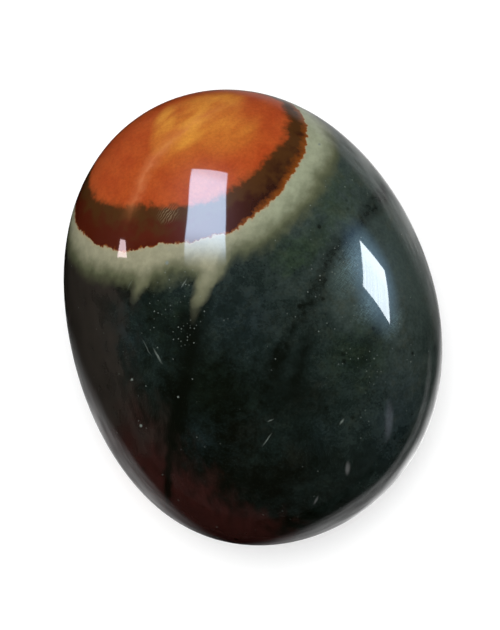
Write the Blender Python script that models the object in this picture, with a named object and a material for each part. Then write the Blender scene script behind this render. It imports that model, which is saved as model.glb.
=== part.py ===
"""A polished jasper pebble, lying on the small flat spot of its underside.

It is one stone: a plump oval, a little narrower at its orange end and slightly
bowed to one side, as hand-shaped pebbles are. The stone lies with its broad face up.
X runs across it, +Y along it towards the orange end, and +Z up through its thickness.
The origin is on the surface that it rests on, under the middle of its outline.
"""

import math

import bmesh
import bpy
from mathutils import Vector

# The stone's size, in metres
LENGTH = 0.056
WIDTH = 0.0447
ROUND_THICKNESS = 0.0280  # from the crown down to where the belly would be round
FLAT_SPOT_DEPTH = 0.0004  # how much of the belly the flat spot takes away

# How the stone differs from a plain oval, as shares of half its width
TAPER = -0.040  # narrower towards the orange end
FULLNESS = 0.066  # the two ends are blunter than an ellipse's
BOW = -0.038  # both ends lean to one side
SWAY = 0.021  # the orange end leans back a little

# How the stone's thickness varies, as shares of half of it
CROWN_LIFT = 0.067  # the crown stands further from the waist than the belly does
END_DROP = -0.035  # the orange end is thinner
SIDE_DROP = 0.025  # one long side is fuller

CELLS = 24  # rows of facets along each side of the cube that the round form is made from

STONE_COLOUR = (0.035, 0.055, 0.050, 1.0)
STONE_ROUGHNESS = 0.08


def clear_scene():
    """Removes what the startup file holds."""
    for thing in list(bpy.data.objects):
        bpy.data.objects.remove(thing)


def point_on_stone(direction):
    """The place on the stone's surface that a direction from its middle leads to."""
    across, along, up = direction
    bend = BOW * along**2 + SWAY * along**3
    x = WIDTH / 2 * (across * (1 + TAPER * along + FULLNESS * along**2) + bend)
    y = LENGTH / 2 * along
    z = ROUND_THICKNESS / 2 * up * (1 + CROWN_LIFT * up + END_DROP * along + SIDE_DROP * across)
    return Vector((x, y, z))


def round_form(mesh):
    """A cube's faces cut into cells, each corner of which is carried out to the stone's surface."""
    bmesh.ops.create_cube(mesh, size=2)
    bmesh.ops.subdivide_edges(mesh, edges=mesh.edges, cuts=CELLS - 1, use_grid_fill=True)
    for vertex in mesh.verts:
        # the tangent makes the cells about equal once they are round
        even = Vector(math.tan(math.pi / 4 * side) for side in vertex.co)
        vertex.co = point_on_stone(even.normalized())


def cut_flat_spot(mesh):
    """Takes the lowest part of the belly off, so that the stone has a flat face to lie on."""
    lowest = min(vertex.co.z for vertex in mesh.verts)
    spot_height = lowest + FLAT_SPOT_DEPTH
    cut = bmesh.ops.bisect_plane(
        mesh,
        geom=mesh.verts[:] + mesh.edges[:] + mesh.faces[:],
        plane_co=(0, 0, spot_height),
        plane_no=(0, 0, -1),
        clear_outer=True,
    )
    rim = [piece for piece in cut["geom_cut"] if isinstance(piece, bmesh.types.BMEdge)]
    bmesh.ops.contextual_create(mesh, geom=rim)


def centre_over_origin(mesh):
    """Moves the stone so that the flat spot is at z = 0 and the outline's middle is over the origin."""
    middle = Vector()
    for axis in range(2):
        places = [vertex.co[axis] for vertex in mesh.verts]
        middle[axis] = (min(places) + max(places)) / 2
    middle.z = min(vertex.co.z for vertex in mesh.verts)
    for vertex in mesh.verts:
        vertex.co -= middle


def jasper():
    """The stone's finish: dark green, polished to a gloss."""
    material = bpy.data.materials.new("jasper")
    material.use_nodes = True
    shader = material.node_tree.nodes["Principled BSDF"]
    shader.inputs["Base Color"].default_value = STONE_COLOUR
    shader.inputs["Roughness"].default_value = STONE_ROUGHNESS
    shader.inputs["Metallic"].default_value = 0.0
    return material


def make_pebble():
    """The pebble, as one closed solid."""
    mesh = bmesh.new()
    round_form(mesh)
    cut_flat_spot(mesh)
    centre_over_origin(mesh)
    bmesh.ops.recalc_face_normals(mesh, faces=mesh.faces)
    data = bpy.data.meshes.new("pebble")
    mesh.to_mesh(data)
    mesh.free()
    data.materials.append(jasper())
    data.shade_smooth()
    pebble = bpy.data.objects.new("pebble", data)
    bpy.context.scene.collection.objects.link(pebble)
    return pebble


clear_scene()
make_pebble()
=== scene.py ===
import math
import bpy
from mathutils import Matrix, Vector


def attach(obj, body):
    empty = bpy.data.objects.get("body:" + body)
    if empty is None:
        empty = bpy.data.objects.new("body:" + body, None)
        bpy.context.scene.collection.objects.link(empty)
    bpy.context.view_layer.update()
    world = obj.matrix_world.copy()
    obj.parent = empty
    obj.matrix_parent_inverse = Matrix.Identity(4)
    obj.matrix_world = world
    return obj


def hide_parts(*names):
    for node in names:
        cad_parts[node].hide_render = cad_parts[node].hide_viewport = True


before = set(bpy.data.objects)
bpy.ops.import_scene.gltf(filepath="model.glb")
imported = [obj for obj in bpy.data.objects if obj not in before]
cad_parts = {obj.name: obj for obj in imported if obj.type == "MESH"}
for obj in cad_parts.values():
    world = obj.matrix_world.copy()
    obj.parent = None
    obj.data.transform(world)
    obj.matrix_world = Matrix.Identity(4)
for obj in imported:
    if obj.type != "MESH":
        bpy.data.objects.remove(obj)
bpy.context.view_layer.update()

# The stone leans in the picture, so the picture's right, up and towards-the-camera
# directions are the stone's own axes turned by this much about the vertical.
lean = math.radians(17.25)
waistHeight = 0.01266  # from the floor up to the stone's widest outline
toMillimetres = 1000   # the patterns are laid out in millimetres

pictureRight = Vector((math.cos(lean), -math.sin(lean), 0))
pictureUp = Vector((math.sin(lean), math.cos(lean), 0))
pictureNear = Vector((0, 0, 1))


def roomPlace(across, upward, near):
    # a place in the room, in metres along the picture's axes from the middle of the stone's waist
    return (across * pictureRight + upward * pictureUp + near * pictureNear
            + Vector((0, 0, waistHeight)))


def roomDirection(across, upward, near):
    return (across * pictureRight + upward * pictureUp + near * pictureNear).normalized()


def selectOnly(thing):
    bpy.ops.object.select_all(action="DESELECT")
    thing.select_set(True)
    bpy.context.view_layer.objects.active = thing


def srgb(red, green, blue):
    # a colour as picture editors give it, 0 to 255, as the linear colour that shaders use
    def linear(value):
        value /= 255
        return value / 12.92 if value <= 0.04045 else ((value + 0.055) / 1.055) ** 2.4
    return (linear(red), linear(green), linear(blue), 1.0)


def grey(brightness):
    return (brightness, brightness, brightness, 1.0)


# Short names for the nodes that the materials are made of

def addNode(tree, kind, inputs=None, **settings):
    made = tree.nodes.new(kind)
    for name, value in settings.items():
        setattr(made, name, value)
    for key, value in (inputs or {}).items():
        if isinstance(value, bpy.types.NodeSocket):
            tree.links.new(value, made.inputs[key])
        else:
            made.inputs[key].default_value = value
    return made


def calc(tree, operation, first, second=0.0, clamp=False):
    made = addNode(tree, "ShaderNodeMath", {0: first, 1: second}, operation=operation, use_clamp=clamp)
    return made.outputs[0]


def total(tree, *values):
    # adds up several values
    added = values[0]
    for value in values[1:]:
        added = calc(tree, "ADD", added, value)
    return added


def vectorCalc(tree, operation, first, second):
    made = addNode(tree, "ShaderNodeVectorMath", {0: first, 1: second}, operation=operation)
    return made.outputs["Value" if operation in ("DOT_PRODUCT", "DISTANCE") else "Vector"]


def along(tree, place, direction):
    # how far out a place is in this direction
    return vectorCalc(tree, "DOT_PRODUCT", place, direction)


def scaled(tree, vector, factor):
    # a place or a colour, times one number
    made = addNode(tree, "ShaderNodeVectorMath", {0: vector, "Scale": factor}, operation="SCALE")
    return made.outputs["Vector"]


def capped(tree, value, most=1.0):
    # the value, kept between 0 and this much
    return calc(tree, "MINIMUM", value, most, clamp=True)


def fade(tree, value, start, end, low=0.0, high=1.0):
    # goes softly from low to high while the value goes from start to end
    made = addNode(tree, "ShaderNodeMapRange",
                   {"Value": value, "From Min": start, "From Max": end, "To Min": low, "To Max": high},
                   interpolation_type="SMOOTHSTEP")
    return made.outputs["Result"]


def mixColour(tree, amount, under, over, blend="MIX"):
    made = addNode(tree, "ShaderNodeMix", {0: amount, 6: under, 7: over},
                   data_type="RGBA", blend_type=blend)
    return made.outputs[2]


def noise(tree, place, size, detail=2.0, roughness=0.5):
    # cloudy values from about 0.3 to 0.7, with lumps of this size in millimetres
    made = addNode(tree, "ShaderNodeTexNoise",
                   {"Vector": place, "Scale": 1 / size, "Detail": detail, "Roughness": roughness})
    return made.outputs["Fac"]


def wander(tree, place, size, reach, detail=2.0):
    # noise that runs from about -reach to reach
    return fade(tree, noise(tree, place, size, detail), 0.3, 0.7, -reach, reach)


def ruffled(tree, place, size, push, detail=3.0):
    # the place, pushed about by noise, so that what is laid out on it gets uneven edges
    made = addNode(tree, "ShaderNodeTexNoise", {"Vector": place, "Scale": 1 / size, "Detail": detail})
    shift = vectorCalc(tree, "SUBTRACT", made.outputs["Color"], (0.5, 0.5, 0.5))
    return vectorCalc(tree, "ADD", place, vectorCalc(tree, "MULTIPLY", shift, (push, push, push)))


def turned(tree, place, centre=(0, 0, 0), size=(1, 1, 1), turn=0.0):
    # the same place, read from axes that are moved, turned in the picture's plane and stretched
    made = addNode(tree, "ShaderNodeMapping", {"Vector": place, "Location": centre,
                   "Rotation": (0, 0, math.radians(turn)), "Scale": size}, vector_type="TEXTURE")
    return made.outputs["Vector"]


def softPatch(tree, place, centre, size, turn=0.0, strength=1.0):
    # its strength in the middle of an oval patch, 0 at its rim and outside
    made = addNode(tree, "ShaderNodeTexGradient", {"Vector": turned(tree, place, centre, size, turn)},
                   gradient_type="SPHERICAL")
    return calc(tree, "MULTIPLY", made.outputs["Fac"], strength)


def softPatches(tree, place, patches):
    return total(tree, *(softPatch(tree, place, *patch) for patch in patches))


def speckles(tree, place, spacing, radius, strength, share, varied=(1.0, 1.0)):
    # small round spots in this share of the places that could have one, each of its own strength
    cells = addNode(tree, "ShaderNodeTexVoronoi",
                    {"Vector": place, "Scale": 1 / spacing, "Randomness": 1.0}).outputs
    picks = addNode(tree, "ShaderNodeSeparateColor", {"Color": cells["Color"]}).outputs
    spots = fade(tree, cells["Distance"], radius, 0.04, 0.0, strength)
    spots = calc(tree, "MULTIPLY", spots, calc(tree, "LESS_THAN", picks["Red"], share))
    return calc(tree, "MULTIPLY", spots, fade(tree, picks["Green"], 0.0, 1.0, *varied))


# The jasper. Sizes and places are millimetres along the picture's right, up and towards the
# camera, from the middle of the waist. The layers and seams run right through the stone.

jasperLook = {
    "capFacing": (-0.318, 0.668, 0.673),      # the way the orange cap's layers face
    "bandStart": 16.79,                       # how far out along it the dark band begins
    "orangeFacing": (-0.283, 0.706, 0.649),   # the orange's own layers are tilted a little
    "orangeStart": 19.24,
    "flattening": 0.85,                       # how straight the edges' teeth run inwards, up to 1
    "oliveEdge": (-3.3, -1.8),                # heights from the band's start over which the olive
    "sageEdge": (-2.4, -0.4),                 # and the sage come in
    "fringeWidths": (0.12, 0.60),             # of the brown fringe, at the left and at the right
    "veinMiddle": (4.0, 7.12, 0.0),           # the pale vein is a curved sheet round this axis
    "veinRadius": 19.05,
    "veinWidth": 1.3,                         # from its middle out
    "veinCoreWidth": 0.35,                    # and that of its brightest part
    "seamMiddle": (73.5, -36.4, 0.0),         # the long dark seam is such a sheet too
    "seamRadius": 77.0,
    "seamWidth": 1.6,                         # from its middle out
    "seamEnds": (-12.0, -4.0),                # it fades away between these heights in the picture
    "darkest": 0.88,                          # how much of the body the moss black can hide
    "spotSpacing": 2.6,                       # between the black spots in the body
    "grainAndGlintSpacing": 0.46,                     # between places that could have a pale spot: a grain, and round the side window's reflection a painted glint of a pit
    "fewestGrainsAndGlints": 0.03,                     # the share of those that have one, away from the crowds
    "hatchSpacing": 0.27,                     # between short strokes side by side on the band
    "hatchAcross": (0.83, -0.56, 0.0),        # the direction in which they follow each other
    "tealMiddle": (11.0, 2.4, -4.0),          # beyond this reach the teal turns brown and maroon
    "tealReach": 30.6,
    "tealFade": 1.6,                          # half the width over which it turns
    "maroonFrom": -7.0,                       # heights in the picture between which brown turns maroon
    "maroonTo": -21.0,
    "brownStreaks": {"turn": 14.0, "size": (1.1, 2.6, 1.4)},  # of its mottling, long down the stone
    "lighterAndHazierTowards": (0.0225, 0.0180, 0.0),  # how much lighter the teal is for each millimetre, partly its own tone and partly painted haze
    "tealLightness": 0.40,
    "eyeMiddle": (-11.0, -18.0, -12.5),       # a second orange eye, low on the far side
    "eyeRings": ((10.5, 9.2, "olive"),        # each comes in between these two reaches
                 (9.4, 8.0, "sage"),
                 (7.75, 7.6, "bandMaroon"),
                 (6.4, 6.1, "redOrange")),
    "orange": srgb(152, 67, 26),
    "redOrange": srgb(144, 57, 21),
    "gold": srgb(188, 127, 47),
    "vein": srgb(172, 102, 62),
    "bandOlive": srgb(60, 35, 12),
    "bandMaroon": srgb(62, 18, 5),
    "bandPlum": srgb(68, 22, 8),
    "bandDark": srgb(37, 15, 7),
    "fringe": srgb(110, 57, 14),
    "cream": srgb(140, 128, 100),
    "sage": srgb(126, 124, 102),
    "sageGreen": srgb(125, 130, 108),
    "olive": srgb(68, 71, 50),
    "greyTeal": srgb(47, 57, 53),
    "deepTeal": srgb(17, 26, 23),
    "mossBlack": srgb(3, 5, 1),
    "brownGrey": srgb(35, 31, 27),
    "maroon": srgb(40, 16, 13),
    # pale grains and scratches, and painted glints of pits
    "grainAndGlint": srgb(100, 108, 102),
    # fine scratches in pale blue: partly wear, partly their painted sheen
    "frostAndSheen": srgb(84, 104, 106),
    "bluer": (0.90, 0.97, 1.22, 1.0),         # tints that the dark body is multiplied by
    "greener": (0.92, 1.06, 0.72, 1.0),
    "browner": (1.42, 0.95, 0.85, 1.0),
    "gloss": 0.03,                            # roughness of the polished skin
    "haze": 0.28,                             # roughness of the faint bloom that fine scratches give
    "hazeStrength": 0.06,                     # and its specular level
    "glassiness": 1.54,                       # refractive index of chalcedony
}

# Soft oval patches: middle, half sizes, turn in degrees, strength

jasperPatches = {
    "bluer": [((-14.9, -2.1, 10.7), (3.4, 5.5, 6.0), 10, 1.0),
              ((-8.8, 3.5, 13.4), (2.6, 3.5, 6.0), 0, 0.6),
              ((-0.8, -0.8, 14.7), (6.5, 6.0, 6.0), -30, 0.9),
              ((-5.5, -15.5, 11.2), (5.0, 6.5, 6.0), 20, 0.9),
              ((17.0, -12.5, 9.0), (5.5, 9.0, 8.0), -25, 1.0),
              ((8.0, -14.5, 12.0), (4.0, 4.0, 5.0), 0, 0.6),
              ((15.5, 5.5, 10.0), (6.0, 7.0, 7.0), -20, 0.6)],
    "greener": [((4.2, 7.4, 13.8), (4.0, 3.0, 5.0), 38, 0.8),
                ((12.5, -4.5, 12.5), (6.0, 5.0, 6.0), 30, 0.8),
                ((-4.5, -8.5, 13.5), (6.0, 4.5, 6.0), 0, 0.9),
                ((-9.0, 0.0, 13.0), (4.0, 6.5, 6.0), -10, 0.7),
                ((6.5, 7.5, 13.2), (7.5, 2.6, 6.0), 38, 0.8),
                ((9.5, 14.0, 10.5), (4.0, 6.0, 6.0), -25, 0.7)],
    "browner": [((-0.5, -13.8, 12.8), (4.5, 3.2, 5.0), 25, 0.8),
                ((4.8, -17.5, 11.3), (3.0, 4.5, 5.0), 0, 0.9),
                ((7.0, -9.5, 13.5), (3.0, 2.4, 5.0), 0, 0.5),
                ((-2.0, -19.5, 10.0), (8.0, 3.0, 5.0), -10, 0.7)],
    "darker": [((-7.2, -4.5, 13.4), (2.0, 7.0, 6.0), -7, 1.1),
               ((-8.9, -13.0, 11.0), (1.1, 7.0, 6.0), -11, 1.5),
               ((-9.9, -20.0, 7.0), (0.8, 5.5, 5.0), -2, 1.4),
               ((-4.4, -9.2, 13.5), (5.5, 4.0, 6.0), 10, 0.65),
               ((-8.5, 0.0, 13.4), (4.0, 4.5, 6.0), 0, 0.35),
               ((0.5, -19.4, 10.4), (7.5, 2.0, 5.0), 6, 0.7),
               ((9.2, -17.1, 10.7), (4.5, 3.5, 5.0), 0, 0.5),
               ((6.2, -4.0, 14.3), (1.3, 6.0, 5.0), -14, 0.7),
               ((5.7, -9.9, 13.7), (4.0, 4.5, 5.0), -14, 0.6),
               ((3.0, -5.5, 14.5), (2.2, 3.0, 5.0), -30, 0.6),
               ((13.5, -4.0, 12.2), (1.2, 3.8, 5.0), -25, 0.5),
               ((3.3, -9.3, 14.1), (4.5, 3.5, 5.0), 0, 0.35),
               ((5.6, -7.0, 14.2), (2.5, 3.0, 5.0), 0, 0.20),
               ((1.4, -0.6, 14.9), (3.0, 3.0, 4.0), 0, 0.25)],
    "tealEdge": [((-7.3, -17.7, 10.0), (3.0, 4.0, 5.0), 20, -1.3)],
    "lighter": [((-14.8, -2.5, 10.7), (5.0, 8.0, 7.0), 14, 0.45),
                ((-12.2, -8.8, 11.0), (4.0, 6.0, 6.0), 10, 0.35),
                ((-9.3, 2.5, 13.2), (3.6, 4.0, 6.0), 0, 0.4),
                ((-6.0, -15.0, 11.2), (4.0, 6.0, 6.0), 20, 0.25),
                ((-0.8, -0.8, 14.7), (6.0, 6.0, 6.0), -30, 0.15),
                # these two lighten the upper right partly as painted haze, the sheen of fine scratches
                ((19.5, 8.5, 5.5), (5.0, 9.0, 8.0), -28, 0.6),
                ((11.5, 4.5, 12.0), (6.0, 6.0, 6.0), -30, 0.4),
                ((4.2, 7.4, 13.8), (4.0, 3.0, 5.0), 38, 0.20)],
    "fingers": [((-4.4, 6.0, 14.1), (1.9, 3.2, 4.0), -24, 0.68),
                ((-5.5, 3.6, 14.1), (1.3, 3.2, 4.0), -22, 0.50),
                ((-6.4, 1.2, 14.1), (0.8, 2.6, 4.0), -12, 0.12),
                ((-5.2, 6.4, 13.9), (3.0, 1.5, 4.0), 6, 0.35),
                ((-12.7, 4.3, 11.9), (1.0, 3.6, 4.0), -25, 0.34)],
    "notches": [((-16.5, 4.1, 9.9), (3.5, 3.5, 5.0), 0, 0.5),
                ((-9.3, 5.0, 13.2), (4.0, 3.2, 5.0), 0, 0.8),
                ((-1.6, 6.6, 14.4), (3.2, 3.0, 5.0), -30, 0.6),
                ((9.0, 21.0, 7.5), (4.0, 5.0, 6.0), -30, -0.7)],
    "bandEdge": [((-10.7, 8.1, 12.4), (5.0, 5.0, 6.0), 0, -0.50),
                 ((-1.6, 10.0, 13.7), (3.8, 3.8, 6.0), 0, 0.45),
                 ((2.6, 13.6, 12.6), (4.5, 4.5, 6.0), 0, 0.28)],
    "orangeEdge": [((-12.5, 12.4, 10.7), (5.5, 3.0, 6.0), 0, -0.50)],
    "gold": [((-6.0, 23.0, 7.0), (7.5, 2.2, 8.0), 36, 1.1),
             ((-10.6, 22.4, 6.2), (1.5, 4.2, 6.0), -18, 1.0),
             ((-7.0, 21.0, 7.5), (10.5, 6.5, 9.0), 35, 0.75),
             ((-5.5, 25.8, 4.5), (9.0, 2.4, 6.0), 18, 0.55),
             ((-0.5, 21.5, 8.0), (6.0, 4.5, 8.0), 30, 0.40)],
    # fine scratches round the side window's reflection, painted pale as the sheen they catch
    "frostAndSheen": [((11.7, 5.8, 12.2), (2.4, 5.0, 5.0), -24, 0.55),
              ((13.6, 0.8, 11.7), (1.8, 3.0, 4.0), -28, 0.45),
              ((16.6, -1.0, 10.0), (1.4, 2.8, 4.0), -24, 0.45)],
    "hatching": [((-9.8, 11.9, 12.0), (1.6, 1.3, 3.0), 30, 0.5)],
    "vein": [((-14.0, 17.0, 8.0), (17.0, 17.0, 17.0), 0, 1.0)],
    "plum": [((-11.8, 9.6, 12.0), (4.5, 1.7, 4.0), 4, 1.0)],
    "grainsAndGlints": [((-9.5, 1.0, 13.2), (5.0, 6.0, 6.0), 0, 0.75),
               ((-7.4, -2.3, 13.8), (1.6, 2.3, 4.0), -12, 1.3),
               # these two crowds lie round the side window's reflection: partly painted glints of pits
               ((9.5, 4.5, 12.5), (6.5, 7.5, 6.0), -30, 0.55),
               ((14.0, -6.5, 11.5), (7.0, 5.0, 6.0), 0, 0.4)],
    "scratches": [((-11.0, -4.8, 12.3), (0.15, 1.2, 2.0), 30, 0.8),
                  ((-12.3, -3.8, 12.2), (0.09, 1.3, 2.0), 28, 0.4),
                  ((1.8, -14.6, 12.9), (0.11, 1.1, 2.0), -35, 0.7),
                  ((2.2, -12.3, 13.5), (0.10, 0.5, 2.0), -70, 0.7),
                  ((10.6, -12.5, 12.0), (0.18, 0.5, 2.0), -35, 0.9),
                  ((-7.9, 3.7, 13.6), (0.10, 0.8, 2.0), -32, 0.7),
                  ((-14.3, 3.6, 11.8), (0.08, 0.8, 2.0), -32, 0.35),
                  ((-9.9, 6.1, 13.1), (0.26, 0.30, 2.0), 0, 1.6),
                  ((-14.1, -7.6, 10.2), (0.20, 0.20, 2.0), 0, 1.3),
                  ((-13.1, -13.1, 9.0), (0.22, 0.22, 2.0), 0, 1.6),
                  ((-8.6, -9.6, 12.4), (0.16, 0.16, 2.0), 0, 1.2),
                  ((8.1, 20.3, 7.0), (0.22, 0.22, 2.0), 0, 1.4)],
}


def patternPlace(tree):
    # places on a piece, laid out as said above
    coordinates = addNode(tree, "ShaderNodeTexCoord")
    made = addNode(tree, "ShaderNodeMapping", {"Vector": coordinates.outputs["Object"],
                   "Location": (0, 0, -toMillimetres * waistHeight), "Rotation": (0, 0, lean),
                   "Scale": (toMillimetres,) * 3})
    return made.outputs["Vector"]


def layerHeight(tree, place, facing, start):
    # how far a place is beyond a layer that faces this way, in millimetres
    return calc(tree, "SUBTRACT", along(tree, place, facing), start)


def alongLayer(tree, place, facing):
    # the place, nearly flattened on to the layer, so that noise there makes teeth and no islands
    offset = scaled(tree, facing, along(tree, place, facing))
    return vectorCalc(tree, "SUBTRACT", place, scaled(tree, offset, jasperLook["flattening"]))


def sheetDistance(tree, place, middle, radius, unevenness):
    # how far a place is from a sheet that is curved round an upright axis
    flat = vectorCalc(tree, "MULTIPLY", place, (1.0, 1.0, 0.0))
    offset = calc(tree, "SUBTRACT", vectorCalc(tree, "DISTANCE", flat, middle), radius)
    return calc(tree, "ABSOLUTE", total(tree, offset, unevenness))


def tealBody(tree, place):
    look = jasperLook
    uneven = ruffled(tree, place, 2.2, 5.0)
    # it is lighter towards the upper right, partly its own tone and partly painted haze, the sheen that
    # fine scratches give there, and clouded, mottled and grained all over
    lightnessAndHaze = total(tree, along(tree, place, look["lighterAndHazierTowards"]), look["tealLightness"],
                      wander(tree, place, 5.0, 0.12, 4.0), wander(tree, place, 1.2, 0.08, 3.0),
                      wander(tree, place, 0.3, 0.06), softPatches(tree, uneven, jasperPatches["lighter"]))
    colour = mixColour(tree, fade(tree, lightnessAndHaze, -0.1, 0.5), look["mossBlack"], look["deepTeal"])
    colour = mixColour(tree, fade(tree, lightnessAndHaze, 0.30, 1.15), colour, look["greyTeal"])
    for tint in ("bluer", "greener", "browner"):
        amount = total(tree, softPatches(tree, uneven, jasperPatches[tint]),
                       wander(tree, place, 2.6, 0.3, 4.0), wander(tree, place, 0.7, 0.25, 3.0))
        colour = mixColour(tree, capped(tree, amount), colour, look[tint], "MULTIPLY")
    grained = fade(tree, noise(tree, place, 0.4, 3.0, 0.6), 0.3, 0.7, 0.86, 1.14)
    return maroonSide(tree, place, scaled(tree, colour, grained))


def maroonSide(tree, place, colour):
    # the lower left is brownish grey, and maroon further down
    look = jasperLook
    upward = total(tree, along(tree, place, (0.0, 1.0, 0.0)), wander(tree, place, 4.0, 3.0))
    brown = mixColour(tree, fade(tree, upward, look["maroonFrom"], look["maroonTo"]),
                      look["brownGrey"], look["maroon"])
    streaky = turned(tree, place, **look["brownStreaks"])
    mottled = fade(tree, noise(tree, streaky, 1.0, 3.0, 0.5), 0.25, 0.75, 0.84, 1.16)
    reach = total(tree, vectorCalc(tree, "DISTANCE", place, look["tealMiddle"]),
                  wander(tree, place, 4.0, 0.5, 3.0), wander(tree, streaky, 1.0, 0.5, 3.0),
                  softPatches(tree, place, jasperPatches["tealEdge"]))
    edge = calc(tree, "SUBTRACT", reach, look["tealReach"])
    return mixColour(tree, fade(tree, edge, -look["tealFade"], look["tealFade"], 0.0, 0.88),
                     colour, scaled(tree, brown, mottled))


def darkSeams(tree, place, colour):
    # moss-black clouds, spots and a long seam in the dark body
    look = jasperLook
    uneven = ruffled(tree, place, 1.5, 1.7, 4.0)
    seam = sheetDistance(tree, place, look["seamMiddle"], look["seamRadius"],
                         wander(tree, place, 2.6, 0.4, 3.0))
    broken = fade(tree, noise(tree, place, 0.9, 4.0, 0.65), 0.3, 0.7, 0.3, 0.85)
    seam = calc(tree, "MULTIPLY", fade(tree, seam, look["seamWidth"], 0.0), broken)
    ending = fade(tree, along(tree, place, (0.0, 1.0, 0.0)), *look["seamEnds"])
    spots = speckles(tree, place, look["spotSpacing"], 0.17, 0.65, 0.6)
    amount = total(tree, calc(tree, "MULTIPLY", seam, ending),
                   softPatches(tree, uneven, jasperPatches["darker"]), spots)
    return mixColour(tree, capped(tree, amount, look["darkest"]), colour, look["mossBlack"])


def sageHalo(tree, place, body):
    # the sage rim round the band, with its fingers, and the olive that it fades to
    look = jasperLook
    flat = alongLayer(tree, place, look["capFacing"])
    uneven = ruffled(tree, place, 1.6, 1.1)
    streaky = turned(tree, place, turn=-28.0, size=(0.6, 2.2, 1.2))
    height = total(tree, layerHeight(tree, place, look["capFacing"], look["bandStart"]),
                   wander(tree, flat, 3.0, 0.12, 2.0), wander(tree, place, 1.2, 0.16, 4.0),
                   wander(tree, streaky, 1.0, 0.08, 3.0))
    height = calc(tree, "SUBTRACT", height, softPatches(tree, uneven, jasperPatches["notches"]))
    fingers = softPatches(tree, uneven, jasperPatches["fingers"])
    mottled = fade(tree, noise(tree, place, 0.9, 4.0, 0.6), 0.3, 0.7, 0.90, 1.10)
    greener = fade(tree, along(tree, place, (1.0, 0.0, 0.0)), -7.0, 5.0)
    sage = scaled(tree, mixColour(tree, greener, look["sage"], look["sageGreen"]), mottled)
    oliveAmount = calc(tree, "ADD", fade(tree, height, *look["oliveEdge"]),
                       fade(tree, fingers, 0.0, 0.35), clamp=True)
    sageAmount = calc(tree, "ADD", fade(tree, height, *look["sageEdge"]),
                      calc(tree, "MULTIPLY", fingers, 0.95), clamp=True)
    return mixColour(tree, sageAmount, mixColour(tree, oliveAmount, body, look["olive"]), sage)


def orangeCore(tree, place):
    # orange and redder orange, with diagonal gold streaks and fine dark grains
    look = jasperLook
    mottled = fade(tree, noise(tree, place, 2.4, 4.0, 0.6), 0.35, 0.65)
    colour = mixColour(tree, mottled, look["redOrange"], look["orange"])
    diagonal = turned(tree, place, turn=38.0, size=(5.0, 1.4, 3.0))
    streaks = fade(tree, noise(tree, diagonal, 1.0, 3.0, 0.4), 0.3, 0.7, 0.35, 1.0)
    golden = softPatches(tree, place, jasperPatches["gold"])
    golden = calc(tree, "MULTIPLY", fade(tree, golden, 0.1, 1.1), streaks)
    colour = mixColour(tree, golden, colour, look["gold"])
    fine = fade(tree, noise(tree, place, 0.35, 3.0, 0.7), 0.3, 0.7, 0.0, 0.22)
    return mixColour(tree, fine, colour, look["bandMaroon"])


def hatching(tree, place):
    # a few short strokes side by side, as a polishing grit leaves them
    across = total(tree, along(tree, place, jasperLook["hatchAcross"]), wander(tree, place, 0.8, 0.1))
    phase = calc(tree, "MULTIPLY", across, 2 * math.pi / jasperLook["hatchSpacing"])
    strokes = fade(tree, calc(tree, "SINE", phase), 0.0, 1.0)
    return calc(tree, "MULTIPLY", strokes, softPatches(tree, place, jasperPatches["hatching"]))


def capLayers(tree, place, body):
    # from outside in: a thin cream line, the brown fringe, the dark band, olive at its inside, orange
    look = jasperLook
    flat = alongLayer(tree, place, look["capFacing"])
    outer = total(tree, layerHeight(tree, place, look["capFacing"], look["bandStart"]),
                  wander(tree, flat, 3.0, 0.06), wander(tree, flat, 0.6, 0.11, 3.0),
                  softPatches(tree, place, jasperPatches["bandEdge"]))
    inner = total(tree, layerHeight(tree, place, look["orangeFacing"], look["orangeStart"]),
                  wander(tree, flat, 3.2, 0.20, 2.0), wander(tree, flat, 0.6, 0.12, 3.0),
                  softPatches(tree, place, jasperPatches["orangeEdge"]))
    toRight = along(tree, place, (1.0, 0.0, 0.0))
    colour = mixColour(tree, fade(tree, outer, -0.22, -0.05, 0.0, 0.6), body, look["cream"])
    colour = mixColour(tree, fade(tree, outer, -0.07, 0.05), colour, look["fringe"])
    outermost = mixColour(tree, fade(tree, toRight, -8.0, 3.0), look["bandMaroon"], look["bandDark"])
    outermost = mixColour(tree, softPatches(tree, ruffled(tree, place, 1.4, 2.0), jasperPatches["plum"]),
                          outermost, look["bandPlum"])
    smudged = total(tree, inner, wander(tree, place, 1.4, 0.5, 4.0))
    band = mixColour(tree, fade(tree, smudged, -1.9, -0.5), outermost, look["bandOlive"])
    fringeWidth = total(tree, fade(tree, toRight, -3.0, 4.0, *look["fringeWidths"]),
                        wander(tree, flat, 0.5, 0.10, 3.0))
    colour = mixColour(tree, calc(tree, "DIVIDE", outer, fringeWidth, clamp=True), colour, band)
    colour = mixColour(tree, capped(tree, hatching(tree, place), 0.4), colour, look["cream"])
    return mixColour(tree, fade(tree, inner, -0.42, 0.24), colour, orangeCore(tree, place))


def paleVein(tree, place, colour):
    # it is clear in the orange and faint in the band
    look = jasperLook
    unevenness = total(tree, wander(tree, place, 4.0, 0.2, 3.0), wander(tree, place, 0.9, 0.14, 3.0))
    offset = sheetDistance(tree, place, look["veinMiddle"], look["veinRadius"], unevenness)
    height = layerHeight(tree, place, look["capFacing"], look["bandStart"])
    amount = total(tree, fade(tree, offset, look["veinWidth"], 0.0, 0.0, 0.52),
                   fade(tree, offset, look["veinCoreWidth"], 0.0, 0.0, 0.34))
    for factor in (fade(tree, noise(tree, place, 1.8, 4.0, 0.6), 0.3, 0.65, 0.45, 1.0),
                   fade(tree, height, 1.6, 3.6, 0.04, 1.0), fade(tree, height, -0.3, 0.1),
                   softPatches(tree, place, jasperPatches["vein"])):
        amount = calc(tree, "MULTIPLY", amount, factor)
    return mixColour(tree, amount, colour, look["vein"])


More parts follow.
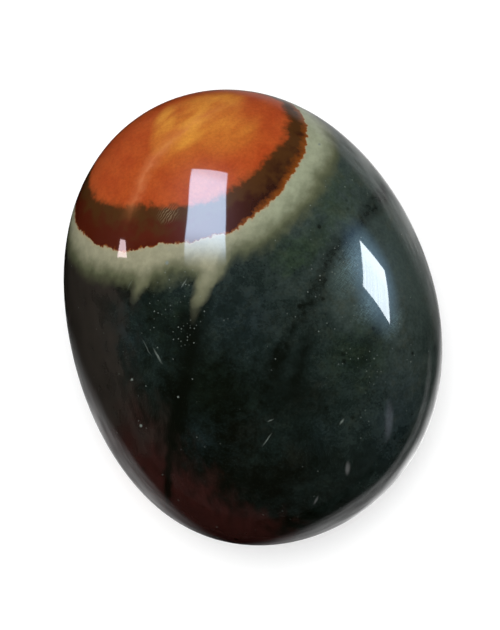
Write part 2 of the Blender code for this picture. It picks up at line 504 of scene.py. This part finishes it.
def secondEye(tree, place, colour):
    # ringed like the cap, from outside in
    look = jasperLook
    reach = total(tree, vectorCalc(tree, "DISTANCE", place, look["eyeMiddle"]),
                  wander(tree, place, 5.0, 1.3, 3.0), wander(tree, place, 1.2, 0.25, 3.0))
    for outside, inside, ring in look["eyeRings"]:
        colour = mixColour(tree, fade(tree, reach, outside, inside), colour, look[ring])
    return colour


def fineScratchesAndSheen(tree, place):
    # two crossing sets of fine strokes, where the skin is worn a little dull, painted pale blue with the
    # sheen that they catch from the side window: painted reflection
    down = noise(tree, turned(tree, place, turn=-35.0, size=(0.10, 0.7, 1.0)), 1.0)
    up = noise(tree, turned(tree, place, turn=58.0, size=(0.09, 0.5, 1.0)), 1.0)
    strokes = total(tree, fade(tree, down, 0.42, 0.75), fade(tree, up, 0.45, 0.75), 0.1)
    return calc(tree, "MULTIPLY", strokes, softPatches(tree, place, jasperPatches["frostAndSheen"]))


def paleGrainsAndGlints(tree, place, colour):
    # tiny pale grains, crowded in a few places, and scratches; the crowds round the side window's
    # reflection are partly painted glints of pits
    look = jasperLook
    crowding = total(tree, softPatches(tree, place, jasperPatches["grainsAndGlints"]), look["fewestGrainsAndGlints"])
    grainsAndGlints = speckles(tree, place, look["grainAndGlintSpacing"], 0.26, 0.7, crowding, varied=(0.3, 1.2))
    scratches = softPatches(tree, ruffled(tree, place, 0.5, 0.2), jasperPatches["scratches"])
    colour = mixColour(tree, capped(tree, fineScratchesAndSheen(tree, place)), colour, look["frostAndSheen"])
    return mixColour(tree, calc(tree, "ADD", grainsAndGlints, scratches, clamp=True), colour, look["grainAndGlint"])


def jasperMaterial():
    look = jasperLook
    material = bpy.data.materials.new("polishedJasper")
    material.use_nodes = True
    tree = material.node_tree
    place = patternPlace(tree)
    colour = darkSeams(tree, place, tealBody(tree, place))
    colour = sageHalo(tree, place, colour)
    colour = secondEye(tree, place, colour)
    colour = paleGrainsAndGlints(tree, place, colour)
    colour = paleVein(tree, place, capLayers(tree, place, colour))
    shader = tree.nodes["Principled BSDF"]
    tree.links.new(colour, shader.inputs["Base Color"])
    shader.inputs["Roughness"].default_value = look["haze"]
    shader.inputs["IOR"].default_value = look["glassiness"]
    shader.inputs["Specular IOR Level"].default_value = look["hazeStrength"]
    shader.inputs["Coat Weight"].default_value = 1.0
    shader.inputs["Coat Roughness"].default_value = look["gloss"]
    shader.inputs["Coat IOR"].default_value = look["glassiness"]
    return material


# The stone itself: the frame's faceted pebble, merged, made of quads, smoothed, and given
# the very slight unevenness that polishing by hand leaves

pebbleShape = {
    "mergeDistance": 0.00002,
    "quadAngle": math.radians(50),            # up to which two triangles make one quad
    "smoothing": 2,
    "wavesApart": 0.011,                      # metres, and so is their depth
    "waveDepth": 0.00004,
}


def makePebble():
    shape = pebbleShape
    selectOnly(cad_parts["pebble"])
    bpy.ops.object.duplicate()
    pebble = bpy.context.active_object
    pebble.name = pebble.data.name = "jasperPebble"
    selectOnly(pebble)
    if pebble.data.has_custom_normals:
        bpy.ops.mesh.customdata_custom_splitnormals_clear()
    bpy.ops.object.mode_set(mode="EDIT")
    bpy.ops.mesh.select_all(action="SELECT")
    bpy.ops.mesh.remove_doubles(threshold=shape["mergeDistance"])
    bpy.ops.mesh.tris_convert_to_quads(face_threshold=shape["quadAngle"],
                                       shape_threshold=shape["quadAngle"])
    bpy.ops.object.mode_set(mode="OBJECT")
    smoothing = pebble.modifiers.new("smoothing", "SUBSURF")
    smoothing.levels = smoothing.render_levels = shape["smoothing"]
    bpy.ops.object.modifier_apply(modifier=smoothing.name)
    waves = bpy.data.textures.new("handPolish", "CLOUDS")
    waves.noise_scale = shape["wavesApart"]
    polish = pebble.modifiers.new("polish", "DISPLACE")
    polish.texture = waves
    polish.texture_coords = "LOCAL"
    polish.mid_level = 1.0                    # it only ever takes stone away
    polish.strength = shape["waveDepth"]
    bpy.ops.object.modifier_apply(modifier=polish.name)
    bpy.data.textures.remove(waves)
    bpy.ops.object.shade_smooth()
    return pebble


pebble = makePebble()
pebble.data.materials.clear()
pebble.data.materials.append(jasperMaterial())
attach(pebble, "root")
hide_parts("pebble")
print("pebble:", len(pebble.data.polygons), "faces")


# The floor, the light and the camera

studio = {
    "floorSize": 6.0,
    "floorColour": grey(0.9),
    "floorRoughness": 0.9,
    "floorGlow": 0.14,                     # the floor is a light table, brighter far from the stone
    "glowRisesFrom": 150,                  # millimetres from the stone
    "glowRisesTo": 700,
    "poolLumps": 7.0,                      # millimetres; the lit pools on it vary in brightness
    "poolUnevenness": (0.6, 1.3),          # by these factors
    "skyGlow": 0.21,                       # how brightly the air lights the stone
    "darkRoom": 0.03,                      # and how bright it looks in the stone's reflections
    "cameraDistance": 0.330,               # from the waist
    "cameraShift": -0.00018,               # along the picture's right
    "focalLength": 155.0,
}

# What the stone mirrors of the floor, as with dark cards laid round a light table: the lit
# pools' middles and half sizes in millimetres, their turn in degrees, and how bright they are

floorPools = [((29.0, 29.0, -12.7), (60.0, 38.0, 9.0), 45, 0.54),
              ((23.0, -16.0, -12.7), (22.0, 20.0, 9.0), -32, 0.85),
              ((50.0, -28.0, -12.7), (13.0, 34.0, 9.0), -28, 0.35),
              ((22.0, -38.0, -12.7), (46.0, 22.0, 9.0), -62, 0.60),
              ((-30.0, -29.0, -12.7), (50.0, 25.0, 9.0), 44, 0.50)]


def makeFloor():
    bpy.ops.object.select_all(action="DESELECT")
    bpy.ops.mesh.primitive_plane_add(size=studio["floorSize"], location=(0, 0, 0))
    floor = bpy.context.active_object
    floor.name = "paleFloor"
    paint = bpy.data.materials.new("paleFloorPaint")
    paint.use_nodes = True
    paint.cycles.emission_sampling = "NONE"
    tree = paint.node_tree
    shader = tree.nodes["Principled BSDF"]
    shader.inputs["Base Color"].default_value = studio["floorColour"]
    shader.inputs["Roughness"].default_value = studio["floorRoughness"]
    shader.inputs["Specular IOR Level"].default_value = 0.0
    shader.inputs["Emission Color"].default_value = grey(1.0)
    place = patternPlace(tree)
    away = vectorCalc(tree, "DISTANCE", place, (0.0, 0.0, -toMillimetres * waistHeight))
    farGlow = fade(tree, away, studio["glowRisesFrom"], studio["glowRisesTo"],
                   studio["floorGlow"], 1.0)
    tree.links.new(farGlow, shader.inputs["Emission Strength"])
    pools = total(tree, *(fade(tree, softPatch(tree, place, middle, size, turn), 0.0, 0.7, 0.0, bright)
                          for middle, size, turn, bright in floorPools))
    lumpy = fade(tree, noise(tree, place, studio["poolLumps"], 3.0), 0.3, 0.7, *studio["poolUnevenness"])
    pools = calc(tree, "MULTIPLY", pools, lumpy)
    glow = addNode(tree, "ShaderNodeEmission", {"Strength": pools})
    mirrored = addNode(tree, "ShaderNodeLightPath").outputs["Is Glossy Ray"]
    both = addNode(tree, "ShaderNodeMixShader", {0: mirrored, 1: shader.outputs[0], 2: glow.outputs[0]})
    tree.links.new(both.outputs[0], tree.nodes["Material Output"].inputs["Surface"])
    floor.data.materials.append(paint)


def faceSides(tree, face):
    # how far across and how far up a lamp's face a place is, from 0 to 1
    sides = addNode(tree, "ShaderNodeSeparateXYZ", {0: face}).outputs
    return sides["X"], sides["Y"]


def curtained(tree, face):
    # narrower upwards, slanted at the top, and dimmer towards the sill and the top
    across, upward = faceSides(tree, face)
    edge = fade(tree, upward, 0.0, 0.57, 0.02, 0.17)
    top = calc(tree, "MULTIPLY", calc(tree, "SUBTRACT", 1.0, across), 0.07)
    bright = fade(tree, calc(tree, "SUBTRACT", across, edge), 0.0, 0.03)
    for factor in (fade(tree, across, 1.0, 0.97), fade(tree, upward, 0.0, 0.34, 0.02, 1.0),
                   fade(tree, upward, 0.95, 0.81, 0.72, 1.0),
                   fade(tree, calc(tree, "ADD", upward, top), 1.0, 0.99)):
        bright = calc(tree, "MULTIPLY", bright, factor)
    return bright


def pleated(tree, face):
    # faint stripes along its lower part, as a thin curtain's pleats give
    across, upward = faceSides(tree, face)
    row = addNode(tree, "ShaderNodeCombineXYZ", {0: across}).outputs["Vector"]
    darker = calc(tree, "SUBTRACT", 1.0, fade(tree, noise(tree, row, 0.05), 0.35, 0.65, 0.80, 1.0))
    return calc(tree, "SUBTRACT", 1.0, calc(tree, "MULTIPLY", fade(tree, upward, 0.75, 0.45), darker))


def softened(tree, face):
    # bright in the middle of its face and dark at its rim
    inside = turned(tree, face, (0.5, 0.5, 0.0), (0.5, 0.5, 1.0))
    glow = addNode(tree, "ShaderNodeTexGradient", {"Vector": inside}, gradient_type="SPHERICAL")
    return fade(tree, glow.outputs["Fac"], 0.0, 0.8)


# All but the overhead cloth, which lights the stone, are there for its reflections alone. Places
# and sizes are metres along the picture's right, up and towards the camera. A lamp's second size
# runs along its longSide.

lamps = {
    "tallWindow": {"centre": (-0.3025, 0.5313, 0.7823), "facing": (0.555, -0.558, -0.617),
                   "longSide": (0.186, 0.806, -0.562), "size": (0.380, 0.665),
                   "watts": 11.6, "colour": (0.60, 0.76, 1.0), "pattern": curtained},
    "sideWindow": {"centre": (0.879, 0.305, 0.366), "facing": (-0.525, 0.218, -0.823),
                   "longSide": (0.55, 0.825, -0.132), "size": (0.284, 0.390),
                   "watts": 6.5, "colour": (0.86, 0.95, 1.0), "pattern": pleated},
    "sideHaze": {"centre": (0.87, 0.31, 0.40), "facing": (-0.87, -0.31, -0.40),
                 "longSide": (0.0, 0.9, 0.0), "size": (0.72, 0.72),
                 "watts": 4.8, "colour": (0.31, 0.63, 1.0), "pattern": softened},
    "doorGap": {"centre": (-0.878, 0.255, 0.406), "facing": (0.303, 0.924, -0.233),
                "longSide": (-0.848, 0.373, 0.376), "size": (0.081, 0.681),
                "watts": 2.1, "colour": (1.0, 0.78, 0.83)},
    "farCard": {"centre": (0.875, -0.452, 0.174), "facing": (-0.875, 0.452, -0.174),
                "longSide": (0.054, 0.202, 0.261), "size": (0.14, 0.44),
                "watts": 0.14, "colour": (0.82, 0.84, 1.0), "pattern": softened},
    "lowGlint": {"centre": (0.592, -0.761, 0.263), "facing": (-0.887, -0.375, 0.271),
                 "longSide": (0.032, 0.534, 0.845), "size": (0.330, 0.190),
                 "watts": 0.26, "pattern": softened},
    "lowCard": {"centre": (0.373, -0.921, 0.110), "facing": (0.81, 0.45, -0.375),
                "longSide": (0.306, 0.221, 0.926), "size": (0.200, 0.150),
                "watts": 0.09, "pattern": softened},
    "overheadCloth": {"centre": (-0.06, 0.20, 0.85), "facing": (0.06, -0.20, -0.85),
                      "longSide": (0, 1, 0), "size": (1.3, 1.3),
                      "watts": 17.5, "mirrored": False},
}


def makeLamp(name, centre, facing, longSide, size, watts, colour=(1, 1, 1), pattern=None, mirrored=True):
    bpy.ops.object.light_add(type="AREA")
    lamp = bpy.context.active_object
    lamp.name = name
    lamp.data.shape = "RECTANGLE"
    lamp.data.size, lamp.data.size_y = size
    lamp.data.energy = watts
    lamp.data.color = colour
    backwards = -roomDirection(*facing)
    upwards = roomDirection(*longSide)
    sideways = upwards.cross(backwards).normalized()
    upwards = backwards.cross(sideways)
    turn = Matrix((sideways, upwards, backwards)).transposed()
    lamp.matrix_world = Matrix.Translation(roomPlace(*centre)) @ turn.to_4x4()
    lamp.visible_camera = False
    lamp.visible_glossy = mirrored
    lamp.visible_diffuse = not mirrored
    if pattern:
        lamp.data.use_nodes = True
        tree = lamp.data.node_tree
        face = addNode(tree, "ShaderNodeNewGeometry").outputs["Parametric"]
        tree.links.new(pattern(tree, face), tree.nodes["Emission"].inputs["Strength"])


def makeCamera():
    bpy.ops.object.camera_add()
    camera = bpy.context.active_object
    camera.name = "camera"
    camera.data.lens = studio["focalLength"]
    camera.data.sensor_fit = "AUTO"
    turn = Matrix((pictureRight, pictureUp, pictureNear)).transposed()
    place = roomPlace(studio["cameraShift"], 0, studio["cameraDistance"])
    camera.matrix_world = Matrix.Translation(place) @ turn.to_4x4()
    bpy.context.scene.camera = camera


def makeSky():
    # white to the camera, dark in reflections, and a soft grey light on the stone
    sky = bpy.data.worlds.new("studioAir")
    bpy.context.scene.world = sky
    sky.use_nodes = True
    tree = sky.node_tree
    seen = addNode(tree, "ShaderNodeLightPath").outputs
    air = mixColour(tree, seen["Is Glossy Ray"], grey(studio["skyGlow"]), grey(studio["darkRoom"]))
    air = mixColour(tree, seen["Is Camera Ray"], air, grey(1.0))
    tree.links.new(air, tree.nodes["Background"].inputs["Color"])


makeFloor()
for name, lamp in lamps.items():
    makeLamp(name, **lamp)
makeCamera()
makeSky()
bpy.context.scene.view_settings.view_transform = "Standard"
print("studio: the floor,", len(lamps), "lamps and the camera are in place")
